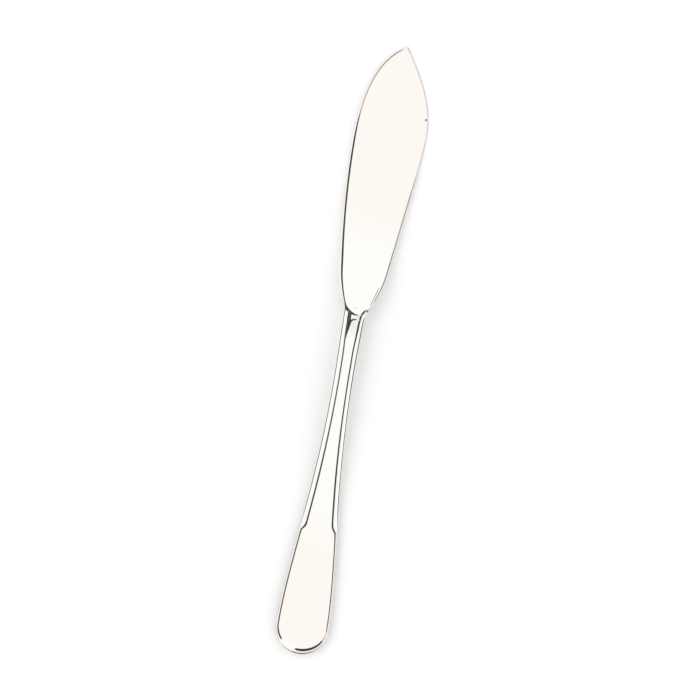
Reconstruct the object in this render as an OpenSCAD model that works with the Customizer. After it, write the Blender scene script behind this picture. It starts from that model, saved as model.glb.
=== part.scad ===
// Butter knife with a broad polished blade and a hollow handle.
// The handle is two stamped halves soldered along their rims, filled with cement around the tang.
// Millimetres, +X to the tip, +Y to the spine, +Z up from the table.

/* [Handle outline] */
// Length of the handle from the butt to its mouth, along the axis
handle_length = 97.4; // [80:0.1:118]
// Radius of the round butt end
butt_radius = 7.5; // [6.2:0.1:9]
// Width of the neck at its narrowest
neck_width = 5.6; // [4.6:0.1:6.8]
// Distance from the mouth back to the narrowest place
neck_back = 17; // [14:0.5:21]
// Width of the handle at its mouth
mouth_width = 6.2; // [5.2:0.1:7.5]
// Extra width of the mouth on the side of the cutting edge
edge_flare = 0.9; // [0.7:0.05:1.1]
// Length over which the edge side spreads to the mouth
flare_run = 3; // [2.4:0.1:3.6]
// Share of the grip over which the full width at the butt carries on towards the neck
butt_fullness = 0.26; // [0.2:0.01:0.32]
// Share of the grip over which the narrow width of the neck carries on towards the butt
neck_fullness = 0.466; // [0.38:0.002:0.56]
// Length over which the handle bends to follow the round heel
mouth_blend = 8; // [6.5:0.5:10]

/* [Handle relief] */
// Width of the low land on each side of the rib, out to the edge
land_width = 1.35; // [1.1:0.05:1.6]
// Width of the low rim along the sides of the end panel
rim_width = 0.42; // [0.35:0.01:0.52]
// Width of the low rim at the butt
butt_rim_width = 0.62; // [0.5:0.01:0.76]
// Distance from the butt to the ears, where the rib widens into the panel
ear_distance = 35.9; // [29:0.1:43]
// Length over which the ears spread
ear_run = 2.6; // [2.2:0.1:3.2]
// Run of the sloped step beside the rib and the sides of the panel
step_run = 0.38; // [0.3:0.02:0.46]
// Run of the step at the butt
butt_step_run = 0.82; // [0.68:0.02:1]
// Run of the step beside the rib at the mouth
mouth_step_run = 1.1; // [0.9:0.05:1.3]
// Length over which the step widens towards the mouth
flank_length = 8; // [6.5:0.5:10]
// Distance from the mouth to where the rib begins to fall
rib_stop = 1.6; // [1.3:0.1:2]
// Length over which the rib falls to the land
rib_fall = 0.9; // [0.7:0.1:1.1]
// Height by which the middle of the rib and panel stands above their sides
panel_crown = 0.12; // [0.1:0.01:0.15]

/* [Handle thickness] */
// Thickness of the handle at the sides of the end panel
panel_thickness = 2.4; // [2.1:0.1:2.9]
// Thickness of the handle at the rim of the butt
rim_thickness = 1.8; // [1.5:0.1:2]
// Thickness of the handle at the sides of the rib, in the neck
rib_thickness = 3.9; // [3.4:0.1:4.7]
// Thickness of the handle at the lands of the neck
land_thickness = 3.3; // [2.8:0.1:3.6]
// Thickness of the handle at the sides of the rib, where the rib ends
mouth_rib_thickness = 3.6; // [3.2:0.1:4.2]
// Thickness of the handle at the lands beside the end of the rib
mouth_land_thickness = 2.7; // [2.4:0.1:3.2]
// Rounding of the outer edge where the land is wide
edge_round = 0.5; // [0.3:0.05:0.6]
// Wall of the stamped halves
wall = 0.5; // [0.4:0.02:0.6]
// Thickness of the solder line between the two halves
seam_thickness = 0.12; // [0.1:0.01:0.2]

/* [Side view] */
// Length of the level end that rests on the table, from the butt
rest_length = 30; // [25:0.5:36]
// Depth of the flat ground into the crown of the back panel, on which the knife rests
rest_flat = 0.08; // [0.06:0.01:0.09]
// Height of the heel above the middle of the flat end
arch_rise = 2; // [1.6:0.1:2.4]
// Length of the blade's point that lies along the table
level_length = 25; // [20:0.5:30]
// Length of the bend behind the level stretch, from which the blade rises straight to the heel
bend_run = 14; // [12:0.5:17]

/* [Blade outline] */
// Length of the blade from the heel to the tip
blade_length = 77.4; // [64:0.1:94]
// Reach of the spine from the handle axis
spine_reach = 8.6; // [7.1:0.1:10.4]
// Reach of the cutting edge from the handle axis
edge_reach = 12; // [10:0.1:14.4]
// Distance of the tip from the handle axis, towards the edge
tip_offset = 2.46; // [2:0.02:3]
// Distance from the heel to the widest place of the spine
spine_peak = 47.4; // [39:0.1:57]
// Distance from the heel to the widest place of the edge
edge_peak = 53.4; // [44:0.1:60]
// Length of the shoulders, from the heel
shoulder_run = 12.4; // [10.3:0.1:15]
// Reach of the spine at the end of its shoulder
spine_shoulder = 6.15; // [5.1:0.05:7.4]
// Reach of the edge at the end of its shoulder
edge_shoulder = 7.3; // [6.05:0.05:8.8]
// Width of the blunt tip
tip_width = 0.5; // [0.3:0.05:0.8]
// Distance from the widest place of the edge on to the nick in it
nick_past = 4.1; // [2.5:0.1:6]
// Depth of the nick
nick_depth = 0.6; // [0.3:0.05:0.75]
// Length of the nick along the edge
nick_length = 1.1; // [0.8:0.1:1.4]

/* [Blade curves] */
// Share of a shoulder over which it keeps its direction at each end
shoulder_fullness = 0.34; // [0.28:0.01:0.42]
// Share of the spine's side over which it keeps its direction at each end
spine_fullness = 0.334; // [0.27:0.002:0.4]
// Share of the edge's side over which it keeps the direction of the shoulder
edge_fullness = 0.634; // [0.52:0.002:0.75]
// Share of the edge's side over which it runs along the blade at its widest place
belly_fullness = 0.122; // [0.1:0.002:0.15]
// Share of the point's spine over which it runs on along the blade
spine_point_fullness = 0.432; // [0.36:0.002:0.52]
// Share of the point's spine over which it keeps its direction at the tip
spine_tip_fullness = 0.36; // [0.3:0.01:0.43]
// Share of the point's edge over which it runs on along the blade
edge_point_fullness = 0.374; // [0.31:0.002:0.45]
// Share of the point's edge over which it keeps its direction at the tip
edge_tip_fullness = 0.416; // [0.34:0.002:0.5]
// Angle at which the spine leaves the heel
spine_heel_angle = 23; // [18:1:28]
// Angle at which the edge leaves the heel
edge_heel_angle = 24; // [20:1:29]
// Angle at which the spine comes down to the tip
spine_tip_angle = 60; // [50:1:66]
// Angle at which the edge comes up to the tip
edge_tip_angle = 32; // [26:1:39]
// Rise of the spine per length at the end of its shoulder
spine_slope = 0.13; // [0.1:0.005:0.16]
// Rise of the edge per length at the end of its shoulder
edge_slope = 0.125; // [0.1:0.005:0.15]

/* [Blade thickness] */
// Thickness at the heel
heel_thickness = 3.6; // [3:0.1:4.2]
// Thickness of the spine where the blade has thinned
spine_thickness = 1.7; // [1.4:0.1:2.1]
// Length over which the blade thins, from the heel
thin_run = 20; // [16:0.5:24]
// Thickness at the tip
tip_thickness = 0.7; // [0.6:0.05:0.9]
// Thickness where the edge bevel begins
bevel_thickness = 1; // [0.8:0.05:1.2]
// Thickness of the blunt cutting edge
edge_thickness = 0.4; // [0.3:0.05:0.5]
// Thickness of the sides of the heel
heel_side = 2.6; // [2.1:0.1:3]
// Width of the edge bevel
bevel_width = 1.5; // [1.2:0.1:1.8]
// Rounding of the spine
spine_round = 0.62; // [0.5:0.02:0.74]
// Share of the spine's thickness that stays flat
flat_share = 0.3; // [0.2:0.05:0.4]
// How much larger the radius of the heel is than half the mouth
heel_bulge = 0.68; // [0.56:0.02:0.82]

/* [Tang] */
// Length of the tang behind the heel
tang_length = 38; // [31:0.5:46]
// Cement between each side of the tang and the wall of the neck
tang_side_cement = 0.7; // [0.5:0.05:0.85]
// Cement over and under the tang, up to the wall at the lands
tang_roof_cement = 0.35; // [0.25:0.01:0.42]
// How much narrower the tang is at its end
tang_taper = 0.8; // [0.5:0.1:1]
// Number of keying notches in each side of the tang
key_count = 3; // [1:1:4]
// Depth of a keying notch
key_depth = 0.4; // [0.3:0.05:0.5]
// Half the length of a keying notch
key_reach = 2.4; // [1.8:0.1:3]

/* [Fits] */
// Gap between the mouth and the heel, filled with solder
heel_gap = 0.2; // [0.15:0.01:0.3]
// Gap between the cement and the walls around it
cement_gap = 0.06; // [0.05:0.01:0.08]
// Gap between the tang and the cement
tang_gap = 0.06; // [0.03:0.01:0.1]
// Gap between solder and the metal beside it
solder_gap = 0.03; // [0.02:0.01:0.05]

/* [Hidden] */

knife_length = handle_length + heel_gap + blade_length;
heel_x = handle_length + heel_gap;
neck_x = handle_length - neck_back;
middle_y = (spine_reach - edge_reach) / 2;
rest_z = panel_thickness / 2 + panel_crown - rest_flat;
heel_z = rest_z + arch_rise;
mouth_half = (mouth_width + edge_flare) / 2;
heel_radius = mouth_half + heel_bulge;
mouth_radius = heel_radius + heel_gap;
heel_centre_x = heel_x + heel_radius;
heel_centre_y = -edge_flare / 2;
tang_width = neck_width - 2 * (wall + tang_side_cement);
tang_thickness = mouth_land_thickness - 2 * (wall + tang_roof_cement);
corner_x = heel_centre_x - sqrt(pow(heel_radius, 2) - pow(mouth_half, 2));
root_half = (tang_width + edge_flare) / 2;
root_x = heel_centre_x - sqrt(pow(heel_radius, 2) - pow(root_half, 2));
tang_end_x = root_x - tang_length;
fall_start = handle_length - rib_stop;
fall_end = fall_start + rib_fall;

// Bend of the blade: along the table at its point, a short parabola, then straight up to the heel
thin_x = heel_x + thin_run;
level_x = knife_length - level_length;
bend_length = blade_length - level_length;
level_z = spine_half(level_x);
level_lean = (spine_thickness - tip_thickness) * (level_x - thin_x) / pow(knife_length - thin_x, 2);
blade_bend = (heel_z - level_z - level_lean * bend_length) / (bend_run * (2 * bend_length - bend_run));
blade_fall = level_lean + 2 * blade_bend * bend_run;

// Stations and rows of the surfaces
fall_steps = 3;
mouth_steps = 8;
neck_steps = 11;
ear_steps = 8;
panel_steps = 7;
butt_steps = 7;
heel_steps = 4;
shoulder_steps = 7;
side_steps = 8;
point_steps = 12;
key_steps = [-1, -0.5, 0.5, 1];
nick_steps = [-0.5, -0.1, 0.1, 0.5];

// Curves

// Point on a cubic curve with four control points
function cubic(p, u) =
    pow(1 - u, 3) * p[0] + 3 * u * pow(1 - u, 2) * p[1] + 3 * u * u * (1 - u) * p[2] + pow(u, 3) * p[3];

// Value between two values
function mix(a, b, share) = a + (b - a) * share;

// Smooth change from 0 to 1 between two places
function ease(x, start, end) =
    let (u = min(1, max(0, (x - start) / (end - start))))
    u * u * (3 - 2 * u);

// Place along a cubic curve at which it reaches x, found by halving
function place(p, x, low = 0, high = 1, left = 20) =
    let (half = (low + high) / 2)
    left == 0 ? half
    : cubic(p, half)[0] < x ? place(p, x, half, high, left - 1)
    : place(p, x, low, half, left - 1);

// Direction in the plan
function heading(angle) = [cos(angle), sin(angle)];

// Cubic from one point to another, which keeps a direction for a share of the span at each end
function span_curve(start, end, start_way, end_way, start_share, end_share) =
    let (span = end[0] - start[0])
    [start, start + span * start_share * start_way, end - span * end_share * end_way, end];

// Side view

// Height of the arch between the flat end and the heel
function arch_z(x) =
    let (
        run = heel_x - rest_length,
        u = (x - rest_length) / run,
        rise = u * u * (3 - 2 * u),
        lean = u * u * (u - 1)
    )
    rest_z + arch_rise * rise - blade_fall * run * lean;

// Height of the blade between the heel and its level stretch
function bend_z(x) =
    let (back = level_x - x, bent = min(back, bend_run))
    level_z + level_lean * back + blade_bend * bent * (2 * back - bent);

// Height of the middle of the metal above the table
function middle_z(x) =
    x < rest_length ? rest_z
    : x < heel_x ? arch_z(x)
    : x < level_x ? bend_z(x)
    : spine_half(x);

// Handle

along = [1, 0];
grip_curve = span_curve(
    [butt_radius, butt_radius], [neck_x, neck_width / 2], along, along, butt_fullness, neck_fullness
);

// Half the width of the handle
function half_width(x) =
    x > neck_x ? mix(neck_width, mouth_width, ease(x, neck_x, handle_length)) / 2
    : cubic(grip_curve, place(grip_curve, x))[1];

// Extra half width of the edge side near the mouth
function flare(x) = edge_flare * pow(max(0, 1 - (handle_length - x) / flare_run), 3);

// Width of the land or rim outside the step, for a column pointing along the side or to the butt
function land(column) =
    let (past_ears = ease(column[0], ear_distance - ear_run / 2, ear_distance + ear_run / 2))
    mix(mix(rim_width, land_width, past_ears), butt_rim_width, pow(column[1], 2));

// Run of the step between the land and the raised part
function step(column) =
    let (near_mouth = ease(column[0], handle_length - flank_length, fall_start))
    mix(mix(step_run, mouth_step_run, near_mouth), butt_step_run, pow(column[1], 2));

// Half the thickness at the land or rim
function land_half(x) =
    let (plain = mix(rim_thickness, land_thickness, ease(x, rest_length, neck_x)))
    mix(plain, mouth_land_thickness, ease(x, handle_length - flank_length, fall_start)) / 2;

// Half the thickness at the sides of the rib or panel
function raised_half(x) =
    let (
        plain = mix(panel_thickness, rib_thickness, ease(x, rest_length, neck_x)),
        rib = mix(plain, mouth_rib_thickness, ease(x, neck_x, fall_start)) / 2
    )
    mix(rib, land_half(x), ease(x, fall_start, fall_end));

// Section of one half, from the rim to the axis: distance from the axis, height above the seam.
// A section further in is as much narrower and lower as the inset says.
function rows(column, inset) =
    let (
        reach = column[3],
        fit = 1 - inset / reach,
        side = reach - land(column),
        raised = side - step(column),
        low = land_half(column[0]) - inset,
        high = raised_half(column[0]) - inset,
        bend = min(edge_round, land(column) * 2 / 3),
        foot = seam_thickness / 2
    )
    concat(
        [for (a = [0 : 30 : 90]) [fit * (reach - bend * (1 - cos(a))), mix(foot, low, sin(a))]],
        [[fit * side, low]],
        [for (share = [1 : -1 / 3 : 0]) [fit * raised * share, high + panel_crown * (1 - pow(share, 2))]]
    );

// Stations along the axis from the mouth to the centre of the butt
ear_start = ear_distance + ear_run;
ear_end = ear_distance - ear_run;
blend_end = handle_length - mouth_blend;
stations = concat(
    [handle_length, (handle_length + fall_end) / 2],
    [for (i = [0 : fall_steps - 1]) mix(fall_end, fall_start, i / fall_steps)],
    [for (i = [0 : mouth_steps - 1]) mix(fall_start, blend_end, i / mouth_steps)],
    [for (i = [0 : neck_steps - 1]) mix(blend_end, ear_start, i / neck_steps)],
    [for (i = [0 : ear_steps - 1]) mix(ear_start, ear_end, i / ear_steps)],
    [for (i = [0 : panel_steps]) mix(ear_end, butt_radius, i / panel_steps)]
);

// Columns around the handle from one side to the other: axis place, direction, reach
side_columns = concat(
    [for (x = stations) [x, 0, 1, half_width(x)]],
    [
        for (i = [1 : butt_steps])
        let (a = 90 * i / butt_steps)
        [butt_radius, -sin(a), cos(a), butt_radius]
    ]
);

// The columns on both sides, starting at the mouth or some stations behind it
function columns(skip) =
    let (last = len(side_columns) - 1)
    concat(
        [for (i = [skip : last]) let (c = side_columns[i]) [c[0], c[1], -c[2], c[3] + flare(c[0])]],
        [for (i = [last - 1 : -1 : skip]) side_columns[i]]
    );

// Forward shift near the mouth, which bends the end of the handle around the heel
function mouth_shift(x, y) =
    let (
        across = min(abs(y - heel_centre_y), mouth_radius - solder_gap),
        share = pow(max(0, 1 - (handle_length - x) / mouth_blend), 2)
    )
    share * (mouth_radius - sqrt(pow(mouth_radius, 2) - pow(across, 2)));

// Point of a section row placed on its column, above the seam or below it
function handle_point(column, row, side) =
    let (
        y = column[2] * row[0],
        straight = column[0] + column[1] * row[0],
        x = straight + mouth_shift(straight, y)
    )
    [x, y, middle_z(x) + side * row[1]];

// Points of one surface: all rows but the last for every column, then the last row along the axis
function layer_points(cols, sections, axis_count, side) =
    let (last = len(sections[0]) - 1)
    concat(
        [for (j = [0 : len(cols) - 1], i = [0 : last - 1]) handle_point(cols[j], sections[j][i], side)],
        [for (k = [0 : axis_count - 1]) handle_point(cols[k], sections[k][last], side)]
    );

// Solid between an upper and a lower surface that share their columns and rows
module between(cols, upper, lower, upper_side, lower_side) {
    count = len(cols);
    axis_count = (count + 1) / 2 - butt_steps;
    last = len(upper[0]) - 1;
    layer = count * last + axis_count;
    function axis_of(j) = min(j, count - 1 - j, axis_count - 1);
    function id(n, i, j) = n * layer + (i < last ? j * last + i : count * last + axis_of(j));
    function halves(a, b, c, d) = concat([[a, b, c]], c == d ? [] : [[a, c, d]]);
    top = [
        for (j = [0 : count - 2], i = [0 : last - 1])
        each halves(id(0, i, j), id(0, i, j + 1), id(0, i + 1, j + 1), id(0, i + 1, j))
    ];
    bottom = [
        for (j = [0 : count - 2], i = [0 : last - 1])
        each halves(id(1, i, j + 1), id(1, i, j), id(1, i + 1, j), id(1, i + 1, j + 1))
    ];
    rim = [
        for (j = [0 : count - 2])
        each halves(id(0, 0, j + 1), id(0, 0, j), id(1, 0, j), id(1, 0, j + 1))
    ];
    mouth = [
        for (i = [0 : last - 1], e = [0, 1])
        let (j = e * (count - 1), near = i + e, far = i + 1 - e)
        each halves(id(0, near, j), id(0, far, j), id(1, far, j), id(1, near, j))
    ];
    polyhedron(
        points = concat(
            layer_points(cols, upper, axis_count, upper_side),
            layer_points(cols, lower, axis_count, lower_side)
        ),
        faces = concat(top, bottom, rim, mouth)
    );
}

// Solid through a row of rings of points, closed at both ends
module loft(rings) {
    size = len(rings[0]);
    sides = [
        for (k = [0 : len(rings) - 2], i = [0 : size - 1])
        let (a = k * size + i, b = k * size + (i + 1) % size)
        each [[a, b, b + size], [a, b + size, a + size]]
    ];
    first = [for (i = [0 : size - 1]) size - 1 - i];
    end = [for (i = [0 : size - 1]) (len(rings) - 1) * size + i];
    polyhedron(points = [for (r = rings) each r], faces = concat(sides, [first, end]));
}

// Places the part with its origin under the middle of the whole knife
module placed() {
    translate([-knife_length / 2, -middle_y, 0])
        children();
}

module handle_front_shell() {
    cols = columns(0);
    color("gainsboro")
        placed()
            between(
                cols,
                [for (c = cols) rows(c, 0)],
                [for (c = cols) rows(c, wall)],
                1, 1
            );
}

module handle_back_shell() {
    cols = columns(0);
    color("silver")
        placed()
            difference() {
                between(
                    cols,
                    [for (c = cols) rows(c, wall)],
                    [for (c = cols) rows(c, 0)],
                    -1, -1
                );
                translate([-butt_radius, -2 * butt_radius, -butt_radius])
                    cube([knife_length, 4 * butt_radius, butt_radius]);
            }
}

// Cement up to where the rib begins to fall
module handle_filler() {
    cols = columns(2 + fall_steps);
    core = [for (c = cols) rows(c, wall + cement_gap)];
    color("tan")
        placed()
            difference() {
                between(cols, core, core, 1, -1);
                loft(tang_rings(tang_gap, root_x));
            }
}

module seam_solder() {
    half = seam_thickness / 2 - solder_gap;
    color("lightsteelblue")
        placed()
            loft([
                for (c = columns(0))
                let (out = c[3] - solder_gap, in = c[3] - wall + solder_gap)
                [
                    for (p = [[out, half], [out, -half], [in, -half], [in, half]])
                    handle_point(c, p, 1)
                ]
            ]);
}

// Blade

shoulder_x = heel_x + shoulder_run;
spine_corner = [corner_x, mouth_width / 2];
spine_bend = [shoulder_x, spine_shoulder];
spine_top = [heel_x + spine_peak, spine_reach];
spine_tip = [knife_length, tip_width / 2 - tip_offset];
edge_corner = [corner_x, -mouth_width / 2 - edge_flare];
edge_bend = [shoulder_x, -edge_shoulder];
edge_top = [heel_x + edge_peak, -edge_reach];
edge_tip = [knife_length, -tip_width / 2 - tip_offset];
spine_rise = [1, spine_slope];
edge_rise = [1, -edge_slope];

// Shoulder, side and point of the spine and of the cutting edge
spine_curves = [
    span_curve(
        spine_corner, spine_bend, heading(spine_heel_angle), spine_rise, shoulder_fullness, shoulder_fullness
    ),
    span_curve(spine_bend, spine_top, spine_rise, along, spine_fullness, spine_fullness),
    span_curve(
        spine_top, spine_tip, along, heading(-spine_tip_angle), spine_point_fullness, spine_tip_fullness
    )
];
edge_curves = [
    span_curve(
        edge_corner, edge_bend, heading(-edge_heel_angle), edge_rise, shoulder_fullness, shoulder_fullness
    ),
    span_curve(edge_bend, edge_top, edge_rise, along, edge_fullness, belly_fullness),
    span_curve(edge_top, edge_tip, along, heading(edge_tip_angle), edge_point_fullness, edge_tip_fullness)
];

// Places along the last curves, with four more for the nick
nick_x = heel_x + edge_peak + nick_past;
nick_at = [for (s = nick_steps) place(edge_curves[2], nick_x + s * nick_length)];
plain_at = [for (i = [0 : point_steps]) i / point_steps];
nick_clear = 1 / point_steps / 8;
point_at = concat(
    [for (u = plain_at) if (u < nick_at[0] - nick_clear) u],
    nick_at,
    [for (u = plain_at) if (u > nick_at[3] + nick_clear) u]
);
function nick(u) = u > nick_at[0] && u < nick_at[3] ? nick_depth : 0;

// Ring around the metal from the spine to the edge and back, no lower than the table
function blade_ring(spine, edge, spine_half, bevel_half, edge_half, bevel, bend) =
    let (
        width = norm(edge - spine),
        across = (edge - spine) / width,
        upper = [
            for (a = [0, 45, 90]) [bend * (1 - cos(a)), spine_half * mix(flat_share, 1, sin(a))],
            [width / 2, (spine_half + bevel_half) / 2],
            [width - bevel, bevel_half],
            [width, edge_half]
        ],
        back = [for (i = [len(upper) - 1 : -1 : 0]) upper[i]],
        lower = [for (p = upper) [p[0], -p[1]]]
    )
    [
        for (p = concat(lower, back))
        let (at = spine + across * p[0])
        [at[0], at[1], max(0, middle_z(at[0]) + p[1])]
    ];

// Ring of the tang, narrowed at the keying notches
function tang_half(x) = (tang_width - tang_taper * (root_x - x) / tang_length) / 2;
function tang_ring(x, grow, key) =
    let (side = tang_half(x) + grow - key, half = tang_thickness / 2 + grow, bend = key_depth / 2)
    blade_ring([x, side], [x, -side], half, half, half - bend / 2, bend, bend);

// Rings of the tang from its end up to a place near the heel
function tang_rings(grow, stop) =
    concat(
        [tang_ring(tang_end_x - grow, grow, 0)],
        [
            for (k = [1 : key_count], s = key_steps)
            let (middle = tang_end_x + tang_length * k / (key_count + 1))
            tang_ring(middle + s * key_reach, grow, abs(s) < 1 ? key_depth : 0)
        ],
        [tang_ring(stop, grow, 0)]
    );

// Half the thickness of the spine and of the bevel start along the blade
function spine_half(x) =
    let (
        thinned = mix(heel_thickness, spine_thickness, ease(x, corner_x, thin_x)),
        past = max(0, (x - thin_x) / (knife_length - thin_x))
    )
    mix(thinned, tip_thickness, pow(past, 2)) / 2;
function bevel_half(x) =
    min(spine_half(x), mix(heel_thickness, bevel_thickness, ease(x, corner_x, thin_x)) / 2);

// Ring of the blade between a place on the spine and one on the edge
function blade_section(spine, edge) =
    let (
        grown = ease(spine[0], corner_x, thin_x),
        room = norm(edge - spine) / 3,
        start = bevel_half(edge[0])
    )
    blade_ring(
        spine, edge, spine_half(spine[0]), start,
        min(start, mix(heel_side, edge_thickness, grown) / 2),
        min(room, mix(spine_round, bevel_width, grown)),
        min(room, spine_round)
    );

// Rings of the rounded heel from the root of the tang to the corners
heel_rings = [
    for (i = [0 : heel_steps - 1])
    let (
        start = asin(root_half / heel_radius),
        end = asin(mouth_half / heel_radius),
        a = mix(start, end, i / heel_steps),
        x = heel_centre_x - heel_radius * cos(a),
        y = heel_radius * sin(a)
    )
    blade_section([x, heel_centre_y + y], [x, heel_centre_y - y])
];

// Rings of one stretch of the blade at places along its two curves
function stretch_rings(n, places) =
    [
        for (u = places)
        let (cut = n == 2 ? [0, nick(u)] : [0, 0])
        blade_section(cubic(spine_curves[n], u), cubic(edge_curves[n], u) + cut)
    ];

module blade() {
    color("whitesmoke")
        placed()
            loft(concat(
                tang_rings(0, root_x - solder_gap),
                heel_rings,
                stretch_rings(0, [for (i = [0 : shoulder_steps - 1]) i / shoulder_steps]),
                stretch_rings(1, [for (i = [0 : side_steps - 1]) i / side_steps]),
                stretch_rings(2, point_at)
            ));
}

// Plan of the solder between the bent mouth of the handle and the heel, from the centre of the heel
module heel_crescent() {
    reach = mouth_half - solder_gap;
    difference() {
        intersection() {
            circle(r = mouth_radius - 2 * solder_gap, $fn = 180);
            translate([-mouth_radius, -reach])
                square([corner_x - heel_centre_x + mouth_radius, 2 * reach]);
        }
        intersection() {
            circle(r = heel_radius + solder_gap, $fn = 180);
            translate([root_x - heel_centre_x - 2 * solder_gap, -mouth_radius])
                square(2 * mouth_radius);
        }
    }
}

// Solder behind the heel, with a slot for the tang, both leaning with the blade
module heel_solder() {
    width = 4 * mouth_radius;
    height = mouth_land_thickness - 2 * solder_gap;
    slot = [tang_width + 2 * solder_gap, tang_thickness + 2 * tang_gap];
    color("lightsteelblue")
        placed()
            translate([heel_centre_x, heel_centre_y, middle_z(heel_centre_x)])
                intersection() {
                    linear_extrude(height = 2 * height, center = true)
                        heel_crescent();
                    rotate([0, atan(blade_fall), 0])
                        difference() {
                            cube([width, width, height], center = true);
                            translate([0, -heel_centre_y, 0])
                                cube([2 * width, slot[0], slot[1]], center = true);
                        }
                }
}

blade();
handle_front_shell();
handle_back_shell();
handle_filler();
seam_solder();
heel_solder();
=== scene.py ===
"""Looks of the butter knife: its surfaces, finishes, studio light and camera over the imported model.

Surfaces are worked out in millimetres in the knife's own frame, as in the construction: x runs from the butt
to the tip, y from the axis of the handle to the spine, z up from the table. Net.build places them in metres.
"""

import logging
import math
from dataclasses import dataclass, field, replace
from enum import Enum

import bpy
import numpy as np
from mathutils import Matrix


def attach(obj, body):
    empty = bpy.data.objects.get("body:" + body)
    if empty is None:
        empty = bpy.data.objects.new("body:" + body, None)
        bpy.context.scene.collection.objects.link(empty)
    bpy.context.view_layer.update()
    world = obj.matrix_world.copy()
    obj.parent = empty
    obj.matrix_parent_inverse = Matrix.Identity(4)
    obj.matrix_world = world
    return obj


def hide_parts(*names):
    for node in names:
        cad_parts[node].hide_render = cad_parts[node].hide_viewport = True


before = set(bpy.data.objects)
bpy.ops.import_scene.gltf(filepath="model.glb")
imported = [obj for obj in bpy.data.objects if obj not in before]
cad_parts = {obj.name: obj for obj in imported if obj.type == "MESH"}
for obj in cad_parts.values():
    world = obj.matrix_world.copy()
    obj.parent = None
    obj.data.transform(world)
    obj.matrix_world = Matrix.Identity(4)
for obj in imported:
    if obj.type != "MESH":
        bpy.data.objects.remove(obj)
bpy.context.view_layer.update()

Array = np.ndarray
Values = Array | float
Pair = tuple[float, float]
Triple = tuple[float, float, float]
Material = bpy.types.Material
Socket = bpy.types.NodeSocket
Thing = bpy.types.Object
log = logging.getLogger("butter_knife")

KNIFE_LENGTH = 175.0
MIDDLE_Y = -1.7


def mix(a: Values, b: Values, share: Values) -> Array:
    """Value between two values."""
    return a + (b - a) * share


def ease(x: Values, start: Values, end: Values) -> Array:
    """Smooth change from 0 at the start to 1 at the end, three times the square less twice the cube."""
    u = np.clip((x - start) / (end - start), 0.0, 1.0)
    return u * u * (3.0 - 2.0 * u)


def window(x: Array, opens: Pair, closes: Pair) -> Array:
    """Share that eases up to 1 over the first span and back to 0 over the second."""
    return ease(x, *opens) * (1.0 - ease(x, *closes))


def ramp(u: Values, rounded: float = 0.15) -> Array:
    """Straight rise from 0 to 1 whose ends are rounded by parabolas.

    Args:
        u: Places, from 0 to 1 along the rise.
        rounded: Share of the run that each parabola takes.

    Returns:
        Values from 0 to 1.
    """
    u = np.clip(u, 0.0, 1.0)
    straight = (u - rounded / 2) / (1.0 - rounded)
    bend = 2 * rounded * (1.0 - rounded)
    low, high = u**2 / bend, 1.0 - (1.0 - u) ** 2 / bend
    return np.where(u < rounded, low, np.where(u > 1.0 - rounded, high, straight))


def bell(away: Array, width: float) -> Array:
    """Bell from 1 down to 0, e to the power of minus the square of the distance over the width."""
    return np.exp(-((away / width) ** 2))


def cubic(points: Array, places: Array) -> Array:
    """Points of a cubic curve, the four control points weighted by the powers of u and 1 - u.

    Args:
        points: The four control points, one to a row.
        places: Places u along the curve, from 0 to 1.

    Returns:
        One point to a row for each place.
    """
    u = np.asarray(places)[:, None]
    v = 1.0 - u
    return v**3 * points[0] + 3 * u * v**2 * points[1] + 3 * u**2 * v * points[2] + u**3 * points[3]


def heading(angle: float) -> Array:
    """Direction in the plan at an angle in degrees from the axis."""
    return np.array([math.cos(math.radians(angle)), math.sin(math.radians(angle))])


def span_curve(start: tuple, end: tuple, ways: tuple, shares: tuple) -> Array:
    """Control points of a cubic that keeps a direction for a share of the span at each end.

    Args:
        start: First point.
        end: Last point.
        ways: Directions at the first and the last point.
        shares: Shares of the span over which each direction is kept.

    Returns:
        The four control points, one to a row.
    """
    first, last = np.array(start), np.array(end)
    span = last[0] - first[0]
    return np.array([
        first,
        first + span * shares[0] * np.asarray(ways[0]),
        last - span * shares[1] * np.asarray(ways[1]),
        last,
    ])


def place(points: Array, x: Array) -> Array:
    """Places along a cubic curve at which it reaches x, read from a fine table of the curve."""
    u = np.linspace(0.0, 1.0, 4001)
    return np.interp(x, cubic(points, u)[:, 0], u)


@dataclass(frozen=True)
class Change:
    """A value that eases from a first to a last one between two places."""

    first: float
    last: float
    start: float
    end: float

    def at(self, x: Array) -> Array:
        """The value at each place."""
        return mix(self.first, self.last, ease(x, self.start, self.end))


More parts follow.
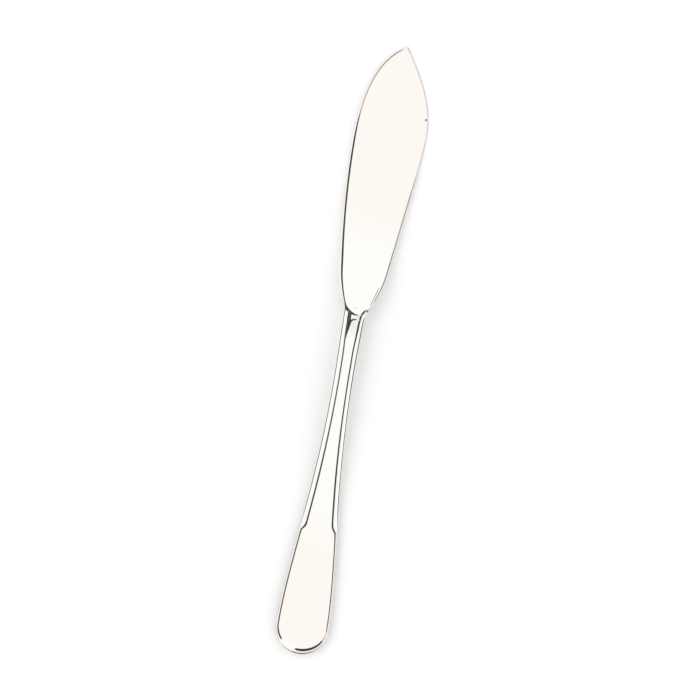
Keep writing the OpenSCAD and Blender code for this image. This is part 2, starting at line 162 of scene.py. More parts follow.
@dataclass
class Net:
    """Sheets of points gathered into one closed mesh.

    Each point carries its place in millimetres and two shares that the finishes read: how much painted shade
    and tarnish darken it in hollows, and how much it is rubbed.
    """

    points: list[Array] = field(default_factory=list)
    faces: list[Array] = field(default_factory=list)
    count: int = 0

    def sheet(self, grid: Array, flip: bool = False, ring: bool = False) -> None:
        """Adds a grid of points as two triangles to each cell.

        Args:
            grid: Points, rows by columns by five values.
            flip: Turns the faces to the other side.
            ring: Joins the last column to the first.
        """
        rows, columns = grid.shape[:2]
        index = np.arange(rows * columns).reshape(rows, columns) + self.count
        if ring:
            index = np.concatenate([index, index[:, :1]], axis=1)
        corners = [index[:-1, :-1], index[1:, :-1], index[1:, 1:], index[:-1, 1:]]
        cells = np.stack(corners, axis=-1).reshape(-1, 4)
        triangles = np.concatenate([cells[:, [0, 1, 2]], cells[:, [0, 2, 3]]])
        self.faces.append(triangles[:, ::-1] if flip else triangles)
        self.points.append(grid.reshape(-1, grid.shape[-1]))
        self.count += rows * columns

    def build(self, name: str, sharp: float = 35.0) -> Thing:
        """Welds the sheets and makes the object, its mesh in metres in the frame of the model.

        Args:
            name: Name of the piece.
            sharp: Angle in degrees past which an edge is shaded sharp.

        Returns:
            The object, linked to the scene.
        """
        points = np.concatenate(self.points)
        _, first, back = np.unique(np.round(points[:, :3], 5), axis=0, return_index=True, return_inverse=True)
        faces = back.reshape(-1)[np.concatenate(self.faces)]
        a, b, c = faces.T
        faces = faces[(a != b) & (b != c) & (c != a)]
        kept = points[first]
        placed = (kept[:, :3] - [KNIFE_LENGTH / 2, MIDDLE_Y, 0.0]) / 1000.0
        mesh = bpy.data.meshes.new(name)
        mesh.from_pydata(placed.tolist(), [], faces.tolist())
        # The first layer is painted shade in hollows mixed with tarnish; the second is rub.
        for layer, values in (("shade_and_tarnish", kept[:, 3]), ("rub", kept[:, 4])):
            mesh.attributes.new(layer, "FLOAT", "POINT").data.foreach_set("value", values.astype(np.float32))
        mesh.polygons.foreach_set("use_smooth", np.ones(len(faces), dtype=bool))
        mesh.set_sharp_from_angle(angle=math.radians(sharp))
        mesh.update()
        piece = bpy.data.objects.new(name, mesh)
        bpy.context.scene.collection.objects.link(piece)
        return piece


def with_shares(x: Array, y: Array, z: Array, shade_and_tarnish: Values = 0.0, rub: Values = 0.0) -> Array:
    """Grid of points with their shares of painted shade and tarnish, and of rub."""
    return np.stack(np.broadcast_arrays(x, y, z, shade_and_tarnish, rub), axis=-1)


@dataclass(frozen=True)
class SideView:
    """Bend of the knife and thickness of its blade seen from the side."""

    rest_length: float = 30.0
    rest_z: float = 1.24
    arch_rise: float = 2.0
    heel_x: float = 97.6
    thin_start: float = 99.53
    thin_end: float = 117.6
    level_x: float = 150.0
    bend_run: float = 14.0
    tip_x: float = 175.0
    heel_half: float = 1.84
    spine_half: float = 0.85
    tip_half: float = 0.35

    def blade_half(self, x: Array) -> Array:
        """Half the thickness of the blade at its spine.

        It thins easily from the heel, and then by the square of the way to the tip.

        Args:
            x: Places along the axis.

        Returns:
            Half thicknesses.
        """
        past = np.clip((x - self.thin_end) / (self.tip_x - self.thin_end), 0.0, 1.0) ** 2
        thinned = mix(self.heel_half, self.spine_half, ease(x, self.thin_start, self.thin_end))
        return mix(thinned, self.tip_half, past)

    def bend(self) -> Pair:
        """Lean of the blade where it leaves the table, and bend of the short parabola that it starts with.

        Returns:
            The slope of the lean, and half the change of slope to a millimetre.
        """
        taper = self.tip_x - self.thin_end
        lean = 2 * (self.spine_half - self.tip_half) * (self.level_x - self.thin_end) / taper**2
        run = self.level_x - self.heel_x
        rise = self.rest_z + self.arch_rise - float(self.blade_half(self.level_x))
        return lean, (rise - lean * run) / (self.bend_run * (2 * run - self.bend_run))

    def middle(self, x: Array) -> Array:
        """Height of the middle of the metal.

        It is level at the butt, a cubic arch along the handle, straight down the blade, a short parabola, and
        half the thickness of the blade above the table where the point lies on it.

        Args:
            x: Places along the axis.

        Returns:
            Heights above the table.
        """
        lean, bend = self.bend()
        run = self.heel_x - self.rest_length
        u = np.clip((x - self.rest_length) / run, 0.0, 1.0)
        fall = lean + 2 * bend * self.bend_run
        arch = self.rest_z + self.arch_rise * u * u * (3.0 - 2.0 * u) - fall * run * u * u * (u - 1.0)
        back = np.maximum(self.level_x - x, 0.0)
        bent = np.minimum(back, self.bend_run)
        blade = self.blade_half(np.maximum(x, self.level_x)) + lean * back + bend * bent * (2 * back - bent)
        return np.where(x < self.heel_x, arch, blade)


@dataclass(frozen=True)
class Heel:
    """Round heel of the blade, the curved mouth of the handle around it, and the short groove between them.

    A span tells where a change starts and where it ends.
    """

    side_view: SideView = SideView()
    centre_x: float = 101.83
    centre_y: float = -0.45
    radius: float = 4.23
    gap: float = 0.2
    corner_half: float = 3.55
    bow_margin: float = 0.05
    shoulder_run: float = 0.92
    shoulder_span: Pair = (0.4, 1.8)
    wall_end_span: Pair = (100.4, 101.6)
    crease_half: Change = Change(1.28, 1.78, 84.0, 96.5)
    crease_flare: float = 0.28
    crease_flare_x: float = 94.5
    crease_flare_run: float = 2.9
    groove_depth: float = 0.38
    groove_rise: float = 0.18
    groove_rise_y: float = 0.7
    groove_rise_run: float = 1.3
    groove_end_y: float = -0.45
    groove_end_run: float = 1.35
    groove_slope: float = 0.5
    groove_wall_runs: Pair = (0.42, 0.76)
    spine_land: float = 1.09
    edge_land: float = 1.38
    land_run: float = 0.72
    land_end_x: float = 98.95
    land_end_run: float = 0.6
    ridge: float = 1.84
    flank_foot: float = 1.8
    flank_run: float = 1.08
    flank_wave: float = 0.2
    dent_depth: float = 0.06
    dent_inward: float = 2.25
    dent_width: float = 0.17
    dent_span: Pair = (0.35, 0.85)

    def bow(self, y: Array, radius: float) -> Array:
        """Forward bow of an arc at a distance from the middle of the heel."""
        across = np.minimum(np.abs(y - self.centre_y), radius - self.bow_margin)
        return radius - np.sqrt(radius**2 - across**2)

    def inward(self, x: Array, y: Array) -> Array:
        """Distance inwards from the arc of the mouth."""
        return self.radius + self.gap - np.hypot(x - self.centre_x, y - self.centre_y)

    def crease(self, x: Array) -> Array:
        """Distance of the edge side's step from the axis, widened at the mouth by the cube of the way."""
        flare = self.crease_flare * np.maximum((x - self.crease_flare_x) / self.crease_flare_run, 0.0) ** 3
        return self.crease_half.at(x) + flare

    def groove(self, y: Array) -> Array:
        """Depth of the groove: its floor rises gently towards the edge side and runs out there."""
        floor = self.groove_depth - self.groove_rise * ramp((self.groove_rise_y - y) / self.groove_rise_run)
        return floor * (1.0 - ramp((self.groove_end_y - y) / self.groove_end_run))

    def groove_drop(self, y: Array) -> Array:
        """Depth under the ridge along the mouth, that of the groove and then of the flank down to the land.

        Args:
            y: Places across the axis.

        Returns:
            Depths.
        """
        up = np.clip((self.flank_foot - y) / self.flank_run, 0.0, 1.0)
        flank = 1.0 - up - self.flank_wave * np.sin(2 * np.pi * up) / (2 * np.pi)
        return self.groove(y) + (self.ridge - self.groove_depth - self.spine_land) * flank

    def groove_wall_run(self, y: Array) -> Array:
        """Run of the two walls of the groove, its depth over their slope."""
        return np.clip(self.groove(y) / self.groove_slope, *self.groove_wall_runs)

    def land_drop(self, x: Array, y: Array) -> Array:
        """Depth under the ridge of the land past the crease on the edge side, which ends on the blade.

        Args:
            x: Places along the axis.
            y: Places across it.

        Returns:
            Depths.
        """
        level = 1.0 - ramp((x - self.land_end_x) / self.land_end_run)
        return (self.ridge - self.edge_land) * level * ramp((-y - self.crease(x)) / self.land_run + 0.5)

    def mouth_height(self, x: Array, y: Array) -> Array:
        """Height along the mouth, the ridge less the depths of groove and land."""
        return self.ridge - self.groove_drop(y) - self.land_drop(x, y)

    def wall_height(self, x: Array, y: Array) -> Array:
        """Height in the wall of the heel, where the groove ends in a straight rise over the run of the wall.

        Args:
            x: Places along the axis.
            y: Places across it.

        Returns:
            Heights above the middle of the metal.
        """
        run = mix(self.groove_wall_run(y), self.shoulder_run, ease(y, *self.shoulder_span))
        share = mix(ramp(self.inward(x, y) / run), 1.0, ease(x, *self.wall_end_span))
        return self.ridge - self.groove_drop(y) * (1.0 - share) - self.land_drop(x, y)

    def dent(self, x: Array, y: Array) -> Array:
        """Depth of a faint dent on the heel, a bell across a short arc about the heel's middle."""
        short = (x < self.centre_x) * (1.0 - ease(np.abs(y), *self.dent_span))
        return self.dent_depth * short * bell(self.inward(x, y) - self.dent_inward, self.dent_width)


@dataclass(frozen=True)
class Columns:
    """Places around the handle from the mouth on the edge side, round the butt, to that on the spine side.

    Each row has its place on the axis, its direction, and its side, 1 at the spine and -1 at the edge.
    """

    axis: Array
    way_x: Array
    way_y: Array
    side: Array

    def split(self, spine: Values, edge: Values) -> Array:
        """The first value on the spine side and the second on the edge side."""
        return np.where(self.side > 0, spine, edge)

    def on(self, side: float) -> "Columns":
        """The same columns, taken to lie on one side."""
        return replace(self, side=np.full_like(self.side, side))


@dataclass(frozen=True)
class HandleForm:
    """Outline and relief of the handle, shared by its two halves and the solder between their rims.

    A pair holds the value on the spine side and the value on the edge side. A span tells where along the axis
    a change starts and where it ends. The stretches from the mouth to the butt have their ends and numbers
    of columns, and the section has numbers of rows on its edge, land, step and raised part.
    """

    heel: Heel = Heel()
    stretches: tuple[tuple[float, int], ...] = ((94.4, 52), (86.0, 56), (39.5, 70), (32.0, 55))
    last_stretch: int = 40
    fan: int = 97
    rows: tuple[int, int, int, int] = (9, 4, 17, 27)
    length: float = 97.4
    butt_radius: float = 7.5
    neck_x: float = 80.4
    neck_half: float = 2.8
    grip_fullness: Pair = (0.26, 0.466)
    mouth_half: Pair = (2.98, 3.1)
    flare: float = 0.95
    flare_run: float = 3.0
    mouth_blend: float = 8.0
    land_width: Pair = (1.37, 1.2)
    rim_width: Pair = (0.44, 0.33)
    butt_rim_width: float = 0.68
    flank_foot_span: Pair = (86.0, 96.5)
    crease_foot_span: Pair = (82.0, 90.0)
    ear_start: Pair = (35.2, 35.6)
    ear_run: float = 2.6
    ear_broader: float = 0.3
    ear_middle: float = 0.9
    ear_width: float = 1.1
    panel_step_run: float = 0.36
    ear_step_run: Pair = (0.5, 0.66)
    step_run: Pair = (0.39, 0.46)
    mouth_step_run: float = 0.72
    butt_step_run: float = 0.95
    butt_step_power: float = 1.3
    ear_step_span: Pair = (31.0, 40.0)
    step_span: Pair = (46.0, 76.0)
    mouth_step_span: Pair = (88.0, 93.6)
    flank: Change = Change(0.0, 1.15, 89.6, 96.4)
    panel_edge_round: float = 0.1
    edge_round: Pair = (0.42, 0.5)
    edge_cut: Pair = (0.0, 0.35)
    edge_span: Pair = (34.0, 44.0)
    butt_chamfer: float = 0.3
    chamfer_slope: float = 0.74
    crown: Change = Change(0.12, 0.06, 32.0, 46.0)
    crown_power: Change = Change(8.0, 2.0, 32.0, 46.0)
    panel_half: float = 1.2
    rim_half: float = 0.94
    butt_rim_half: float = 0.84
    rib_half: float = 1.95
    rib_start: float = 30.0
    rib_drop: float = 0.1
    rib_drop_span: Pair = (86.0, 95.6)
    land_half: Pair = (1.69, 1.64)
    land_start: Pair = (30.0, 38.0)
    land_drop_span: Pair = (89.0, 96.0)
    rib_end: float = 96.24
    rib_end_least: float = 95.2
    rib_end_y: float = -0.5
    rib_end_sweep: float = 0.75
    rib_end_sweep_run: float = 1.3
    rib_wall_more: Change = Change(0.0, 0.25, -0.1, 1.1)
    rib_margin: float = 0.1
    # Painted shade: the top of the rib darkens towards its end at the mouth, and the foot of the step darkens
    # in a narrow bell.
    rib_painted_shade: Change = Change(0.0, 0.55, 90.0, 95.0)
    foot_painted_shade: float = 0.5
    foot_painted_shade_width: float = 0.16
    rub_width: float = 0.25
    seam_half: float = 0.06
    wall: float = 0.36

    def columns(self) -> Columns:
        """Columns along both sides, close together at the mouth and the ears, and a fan round the butt.

        Returns:
            The columns.
        """
        start, parts = self.length, []
        for end, count in self.stretches:
            parts.append(np.linspace(start, end, count, endpoint=False))
            start = end
        along = np.concatenate([*parts, np.linspace(start, self.butt_radius, self.last_stretch)])
        turn = np.radians(np.linspace(0.0, 180.0, self.fan)[1:-1])
        flat, full = np.zeros_like(along), np.ones_like(along)
        return Columns(
            axis=np.concatenate([along, np.full_like(turn, self.butt_radius), along[::-1]])[:, None],
            way_x=np.concatenate([flat, -np.sin(turn), flat])[:, None],
            way_y=np.concatenate([-full, -np.cos(turn), full])[:, None],
            side=np.concatenate([-full, np.sign(np.round(-np.cos(turn), 6)), full])[:, None],
        )

    def flared(self, x: Array) -> Array:
        """Extra reach of the edge side near the mouth, the cube of the share of the run."""
        return self.flare * np.clip((x - self.length + self.flare_run) / self.flare_run, 0.0, 1.0) ** 3

    def reach(self, at: Columns) -> Array:
        """Distance of the outline from the axis: a cubic along the grip, then an easy widening to the mouth.

        Args:
            at: Columns around the handle.

        Returns:
            Distances from the axis.
        """
        start, end = (self.butt_radius, self.butt_radius), (self.neck_x, self.neck_half)
        grip = span_curve(start, end, (heading(0.0), heading(0.0)), self.grip_fullness)
        narrow = cubic(grip, place(grip, at.axis[:, 0]))[:, 1:]
        wide = mix(self.neck_half, at.split(*self.mouth_half), ease(at.axis, self.neck_x, self.length))
        return np.where(at.axis > self.neck_x, wide + at.split(0.0, self.flared(at.axis)), narrow)

    def foot(self, at: Columns) -> Array:
        """Distance of the foot of the step from the axis.

        The land widens past the ears by one less the square of the way left. Both sides settle at the mouth.

        Args:
            at: Columns around the handle.

        Returns:
            Distances from the axis.
        """
        x, heel = at.axis, self.heel
        past_ears = 1.0 - (1.0 - np.clip((x - at.split(*self.ear_start)) / self.ear_run, 0.0, 1.0)) ** 2
        land = mix(at.split(*self.rim_width), at.split(*self.land_width), past_ears)
        plain = self.reach(at) - mix(land, self.butt_rim_width, at.way_x**2)
        bent = x + self.bent_share(x) * heel.bow(-heel.crease(x), heel.radius + heel.gap)
        return at.split(
            mix(plain, heel.flank_foot, ease(x, *self.flank_foot_span)),
            mix(plain, heel.crease(bent) + self.step(at) / 2, ease(x, *self.crease_foot_span)),
        )

    def step(self, at: Columns) -> Array:
        """Run of the step.

        It is short beside the panel, broader by a bell at the ears, less along the neck, most at the mouth.

        Args:
            at: Columns around the handle.

        Returns:
            Runs across the step.
        """
        x = at.axis
        neck = mix(at.split(*self.ear_step_run), at.split(*self.step_run), ease(x, *self.step_span))
        sides = mix(self.panel_step_run, neck, ease(x, *self.ear_step_span))
        sides = mix(sides, at.split(neck, self.mouth_step_run), ease(x, *self.mouth_step_span))
        past_ear = x - at.split(*self.ear_start) - self.ear_middle
        return sides + self.ear_broader * bell(past_ear, self.ear_width)

    def raised(self, at: Columns) -> Array:
        """Distance of the raised part's side from the axis; on the spine side the flank widens to the mouth.

        Args:
            at: Columns around the handle.

        Returns:
            Distances from the axis.
        """
        step = mix(self.step(at), self.butt_step_run, np.abs(at.way_x) ** self.butt_step_power)
        return self.foot(at) - step - at.split(self.flank.at(at.axis), 0.0)

    def bent_share(self, x: Array) -> Array:
        """Share of the mouth's bow taken at a place along the axis, the square of the way into the blend."""
        return np.clip(1.0 - (self.length - x) / self.mouth_blend, 0.0, 1.0) ** 2

    def low_half(self, at: Columns) -> Array:
        """Half the thickness at the rim, lower round the butt, and at the lands, which settle to the heel's.

        Args:
            at: Columns around the handle.

        Returns:
            Heights above the seam.
        """
        rim = mix(self.rim_half, self.butt_rim_half, at.way_x**2)
        land = mix(rim, at.split(*self.land_half), ease(at.axis, at.split(*self.land_start), self.neck_x))
        settled = at.split(self.heel.spine_land, self.heel.edge_land)
        return mix(land, settled, ease(at.axis, *self.land_drop_span))

    def high_half(self, x: Array) -> Array:
        """Half the thickness at the sides of the panel and the rib, which falls towards the mouth."""
        rib = mix(self.panel_half, self.rib_half, ease(x, self.rib_start, self.neck_x))
        return mix(rib, self.heel.ridge - self.rib_drop, ease(x, *self.rib_drop_span))

    def section(self, at: Columns, inset: float) -> tuple[Array, Array, Array, Array]:
        """Section of one half at each column, from the rim to the middle.

        The side is upright, and a quarter of a circle rounds its edge, or a chamfer cuts it at the butt and
        partly on the edge side. The land is level, the step rises straight with rounded ends, and the raised
        part is crowned by a power of the share from its middle. At the mouth the heights become those of the
        heel past the curved end of the rib. A section further in is as much narrower and lower.

        Args:
            at: Columns around the handle.
            inset: Distance of the surface under the outer one.

        Returns:
            Distance from the axis, height above the seam, share of painted shade, and rub, each columns by
            rows.
        """
        x, reach, foot, raised = at.axis, self.reach(at), self.foot(at), self.raised(at)
        middle = np.sign(at.way_y) * (self.raised(at.on(1.0)) - self.raised(at.on(-1.0))) / 2
        middle = np.where(at.way_x == 0.0, middle, 0.0)
        low, high = self.low_half(at), self.high_half(x)
        past_panel, butt = ease(x, *self.edge_span), at.way_x**2
        bend = mix(self.panel_edge_round, at.split(*self.edge_round), past_panel)
        bend = mix(bend, self.butt_chamfer, butt)
        chamfered = np.maximum(butt, at.split(*self.edge_cut) * past_panel)
        turn = np.radians(np.linspace(0.0, 90.0, self.rows[0]))
        flat, up, inner = (np.linspace(0.0, 1.0, count)[1:] for count in self.rows[1:])
        share = 1.0 - inner
        out = np.concatenate([
            reach,
            reach - bend * (1.0 - np.cos(turn)),
            mix(reach - bend, foot, flat),
            mix(foot, raised, up),
            mix(middle, raised, share),
        ], axis=1)
        height = np.concatenate([
            self.seam_half + 0.0 * low,
            low - bend * mix(1.0 - np.sin(turn), self.chamfer_slope * np.cos(turn), chamfered),
            low + 0.0 * flat,
            mix(low, high, ramp(up)),
            high + self.crown.at(x) * (1.0 - share ** self.crown_power.at(x)),
        ], axis=1)
        bent, across, _ = self.placed(at, out, height, 1)
        sweep = (np.maximum(across - self.rib_end_y, 0.0) / self.rib_end_sweep_run) ** 2
        rib_end = np.maximum(self.rib_end - self.rib_end_sweep * sweep, self.rib_end_least)
        run = self.heel.groove_wall_run(across) + self.rib_wall_more.at(across)
        on_top = np.arange(out.shape[1]) > len(turn) + len(flat)
        gate = on_top * ramp((bent - rib_end) / run + 0.5)
        height = mix(height, self.heel.mouth_height(bent, across), gate)
        height = height - inset * np.minimum((height - self.seam_half) / (low - self.seam_half), 1.0)
        # Painted shade at the foot of the step and on the rib's end near the mouth.
        on_rib = (out < raised + self.rib_margin) * (1.0 - gate)
        shade_and_tarnish = self.foot_painted_shade * bell(out - foot, self.foot_painted_shade_width)
        shade_and_tarnish = shade_and_tarnish + self.rib_painted_shade.at(x) * on_rib
        rub = bell(out - raised, self.rub_width) + bell(out - reach, self.rub_width)
        return middle + (out - middle) * (1.0 - inset / (reach - middle)), height, shade_and_tarnish, rub

    def placed(self, at: Columns, out: Array, height: Array, turned: int) -> tuple[Array, Array, Array]:
        """Points of rows on their columns, bent forward around the heel near the mouth.

        Args:
            at: Columns around the handle.
            out: Distances from the axis, columns by rows.
            height: Heights above the seam, columns by rows.
            turned: 1 above the seam, -1 below it.

        Returns:
            The three coordinates, each columns by rows.
        """
        y = at.way_y * out
        straight = at.axis + at.way_x * out
        x = straight + self.bent_share(straight) * self.heel.bow(y, self.heel.radius + self.heel.gap)
        return x, y, self.heel.side_view.middle(x) + turned * height


@dataclass(frozen=True)
class BladeSide:
    """One side of the blade's outline, a cubic each for its shoulder, its long side and its point.

    Angles are in degrees from the axis, at the corner of the heel and at the tip.
    """

    corner: float
    angles: Pair
    shoulder_y: float
    rise: float
    widest: Pair
    tip_y: float
    fullness: tuple[Pair, Pair, Pair]

    def curves(self, form: "BladeForm") -> list[Array]:
        """Control points of the shoulder, the side and the point.

        Args:
            form: Form of the blade.

        Returns:
            Four control points for each.
        """
        heel = form.heel
        corner = (form.corner_x(), heel.centre_y + self.corner * heel.corner_half)
        points = corner, (form.shoulder_x, self.shoulder_y), self.widest, (form.tip_x, self.tip_y)
        ways = heading(self.angles[0]), (1.0, self.rise), heading(0.0), heading(self.angles[1])
        spans = zip(points, points[1:], zip(ways, ways[1:]), self.fullness)
        return [span_curve(*span) for span in spans]


@dataclass(frozen=True)
class BladeForm:
    """Outline and thickness of the blade and its tang.

    A span tells where along the axis a change starts and where it ends. Sections are counted along the tang,
    the shoulder's start and the rest of it, the side, the point and the nick, and rows on the steep spine,
    the chamfer, the face and the bevel.
    """

    heel: Heel = Heel()
    tang_sections: int = 81
    shoulder_sections: tuple[int, int] = (34, 52)
    shoulder_start: float = 0.17
    side_sections: int = 70
    point_sections: int = 91
    nick_sections: int = 37
    rows: tuple[int, int, int, int] = (6, 15, 53, 15)
    spine: BladeSide = BladeSide(
        corner=1.0, angles=(23.0, -60.0), shoulder_y=6.15, rise=0.13, widest=(145.0, 8.6), tip_y=-2.21,
        fullness=((0.34, 0.34), (0.334, 0.334), (0.38, 0.36)),
    )
    edge: BladeSide = BladeSide(
        corner=-1.0, angles=(-23.5, 32.0), shoulder_y=-7.3, rise=-0.125, widest=(151.0, -12.0), tip_y=-2.71,
        fullness=((0.34, 0.34), (0.634, 0.122), (0.374, 0.416)),
    )
    tip_x: float = 175.0
    shoulder_x: float = 110.0
    spine_thick: float = 0.85
    thinnest: float = 0.16
    bevel_thick: float = 0.5
    heel_side: float = 1.6
    edge_half: float = 0.2
    heel_bevel: float = 1.1
    bevel_width: float = 1.5
    bevel_slope: float = 0.24
    spine_round: float = 0.34
    spine_steep: float = 1.35
    spine_chamfer: Change = Change(0.46, 0.6, 102.0, 114.0)
    chamfer_start: float = 0.15
    chamfer_round: float = 0.3
    spine_slope: Change = Change(0.64, 0.2, 134.0, 157.0)
    edge_least_break: float = 0.02
    edge_break: float = 0.14
    break_share: float = 0.6
    break_slope: float = 0.7
    break_span: Pair = (101.0, 103.0)
    break_end_span: Pair = (130.0, 142.0)
    crease_depth: float = 0.08
    crease_span: Pair = (100.9, 101.6)
    crease_end_span: Pair = (105.4, 107.0)
    crease_share: float = 0.42
    crease_run: float = 0.14
    nick_x: float = 155.5
    nick_depth: float = 0.36
    nick_span: Pair = (0.06, 0.34)
    nick_reach: float = 1.1
    nick_near: float = 0.9
    spine_rub: float = 0.8
    edge_rub: float = 0.6
    bow_behind: float = 6.0
    bow_ahead: float = 8.0
    tang_half: float = 1.6
    tang_taper: float = 0.4
    tang_end: float = 59.98
    tang_thick: float = 0.45
    tang_edge: float = 0.35
    tang_chamfer: float = 0.2
    tang_round: float = 0.1
    key_count: int = 4
    key_depth: float = 0.4
    key_span: Pair = (1.2, 2.4)

    def corner_x(self) -> float:
        """Place along the axis of the two corners of the heel."""
        return self.heel.centre_x - math.sqrt(self.heel.radius**2 - self.heel.corner_half**2)

    def rails(self) -> tuple[Array, Array, Array]:
        """Places on the spine and on the edge, section by section from the end of the tang to the tip.

        Returns:
            Plan points on the spine and on the edge, one to a row, and which sections are the tang's.
        """
        front = self.heel.centre_x - self.heel.radius
        tang_x = np.linspace(self.tang_end, front, self.tang_sections)
        taper = self.tang_half - self.tang_taper * (front - tang_x) / (front - self.tang_end)
        run = (front - self.tang_end) / self.key_count
        keyed = np.abs((tang_x - self.tang_end) / run - np.round((tang_x - self.tang_end) / run)) * run
        inside = (tang_x > self.tang_end + run / 2) & (tang_x < front - run / 2)
        tang_y = taper - np.where(inside, self.key_depth * (1.0 - ease(keyed, *self.key_span)), 0.0)
        spine, edge = self.spine.curves(self), self.edge.curves(self)
        first, last = self.nick_x - self.nick_near, self.nick_x + self.nick_near
        nick = place(edge[2], np.linspace(first, last, self.nick_sections))
        point = np.unique(np.concatenate([np.linspace(0.0, 1.0, self.point_sections), nick]))
        near, far = self.shoulder_sections
        shoulder = np.concatenate([
            np.linspace(0.0, self.shoulder_start, near), np.linspace(self.shoulder_start, 1.0, far)[1:-1]
        ])
        stretches = shoulder, np.linspace(0.0, 1.0, self.side_sections)[:-1], point
        spine_rail, edge_rail = (
            np.concatenate([np.stack([tang_x, tang_side], axis=1), *map(cubic, curves, stretches)])
            for tang_side, curves in ((tang_y, spine), (-tang_y, edge))
        )
        return spine_rail, edge_rail, np.arange(len(spine_rail)) < len(tang_x)

    def bowed(self, x: Array, y: Array, off_middle: Array, tang: Array) -> Array:
        """Places along the axis with the sections bowed around the heel.

        The first section of the blade and the last of the tang lie on the arc of the heel. The bow fades by
        the square of the way forward along the blade and backward along the tang.

        Args:
            x: Straight places along the axis, sections by rows.
            y: Places across it.
            off_middle: Shares from -1 to 1 across each section.
            tang: Which sections are the tang's.

        Returns:
            Bowed places along the axis.
        """
        heel = self.heel
        front = heel.centre_x - heel.radius
        behind = np.clip(1.0 - (front - x[:, :1]) / self.bow_behind, 0.0, 1.0) ** 2
        ahead = np.clip(1.0 - (x[:, :1] - self.corner_x()) / self.bow_ahead, 0.0, 1.0) ** 2
        depth = np.sqrt(heel.radius**2 - (heel.corner_half * off_middle) ** 2)
        sag = depth - math.sqrt(heel.radius**2 - heel.corner_half**2)
        return np.where(tang, x + behind * heel.bow(y, heel.radius), x - ahead * sag)

    def surface(self) -> tuple[Array, Array, Array, Array, Array, Array]:
        """Plan, middle and half thickness of the blade, section by section from its spine to its edge.

        The spine starts steep, narrower where it is thin, and goes over a chamfer that flattens towards the
        tip into the face. The face tapers in a straight line to the bevel, and the bevel runs down to the
        blunt edge with a small crease near the heel and a broken corner. The wall of the heel cuts it off
        behind. The nick pushes the edge inwards over a short stretch. Where the point lies on the table, its
        sections lean over until the edge touches too.

        Returns:
            The plan coordinates, height of the middle, half thickness, share of painted shade and tarnish,
            and rub, each sections by rows.
        """
        spine, edge, tang = self.rails()
        tang = tang[:, None]
        at_spine, at_edge = spine[:, :1], edge[:, :1]
        width = np.linalg.norm(edge - spine, axis=1, keepdims=True)
        side_view = self.heel.side_view
        grown = ease(at_spine, self.corner_x(), self.shoulder_x)
        grown_edge = ease(at_edge, side_view.thin_start, side_view.thin_end)
        spine_half = side_view.blade_half(at_spine)
        bevel_half = np.minimum(spine_half, mix(self.heel.ridge, self.bevel_thick, grown_edge))
        bevel = np.minimum(width / 3, mix(self.heel_bevel, self.bevel_width, grown))
        edge_half = np.minimum(bevel_half, mix(self.heel_side, self.edge_half, grown_edge))
        edge_half = np.maximum(edge_half, bevel_half - self.bevel_slope * bevel)
        spine_half = np.where(tang, self.tang_thick, spine_half)
        bevel_half = np.where(tang, self.tang_thick, bevel_half)
        edge_half, bevel = np.where(tang, self.tang_edge, edge_half), np.where(tang, self.tang_chamfer, bevel)
        stout = np.clip((spine_half - self.thinnest) / (self.spine_thick - self.thinnest), 0.0, 1.0)
        steep = np.where(tang, self.tang_round, np.minimum(self.spine_round * stout, width / 6))
        chamfer = steep + np.minimum(self.spine_chamfer.at(at_spine), width / 4)
        chamfer = np.where(tang, self.tang_chamfer, chamfer)
        rim, off, face, down = (np.linspace(0.0, 1.0, count) for count in self.rows)
        rim, face, down = rim[:-1], face[1:], down[1:]
        broken = window(at_edge, self.break_span, self.break_end_span)
        trim = mix(self.edge_least_break, self.edge_break, np.where(tang, 0.0, broken))
        trim = np.minimum(trim, self.break_share * edge_half)
        across = np.concatenate([
            steep * rim,
            mix(steep, chamfer, off),
            mix(chamfer, width - bevel, face),
            mix(width - bevel, width - trim / self.break_slope, down),
            width,
        ], axis=1)
        slope = np.where(tang, self.tang_round, self.spine_slope.at(at_spine))
        eased = ramp(mix(self.chamfer_start, 1.0, off), self.chamfer_round)
        drop = slope * (chamfer - steep) * (1.0 - eased)
        outer = drop[:, :1] + self.spine_steep * steep * (1.0 - rim)
        creased = window(at_edge, self.crease_span, self.crease_end_span)
        fold = self.crease_depth * creased * (ramp((down - self.crease_share) / self.crease_run) - down)
        half = np.concatenate([
            spine_half - outer,
            spine_half - drop,
            mix(spine_half, bevel_half, face),
            mix(bevel_half, edge_half, down) - fold,
            edge_half - trim,
        ], axis=1)
        way = (edge - spine) / width
        x = spine[:, :1] + way[:, :1] * across
        y = spine[:, 1:] + way[:, 1:] * across
        x = self.bowed(x, y, 1.0 - 2.0 * across / width, tang)
        nicked = 1.0 - ease(np.abs(x - self.nick_x), *self.nick_span)
        y = y + self.nick_depth * nicked * ease(across, width - self.nick_reach, width)
        wall = self.heel.wall_height(x, y)
        half = np.where(tang, half, np.minimum(half, wall) - self.heel.dent(x, y))
        # Painted shade: the blade darkens with its depth under the ridge in the groove at the heel; the
        # hidden tang is darkened fully.
        shade_and_tarnish = np.where(tang, 1.0, np.clip(self.heel.ridge - wall, 0.0, 1.0))
        rub = bell(across, self.spine_rub) + bell(width - across, self.edge_rub)
        lean = ease(x, side_view.level_x - side_view.bend_run, side_view.level_x) * across / width
        middle = side_view.middle(x) - lean * (spine_half - edge_half)
        return x, y, middle, half, shade_and_tarnish, rub


class Finish(Enum):
    """Named finishes of the knife."""

    BLADE = "mirror_polished_blade_steel"
    PLATE = "mirror_polished_handle_plate"
    SOLDER = "polished_solder"
    CEMENT = "matt_cement"


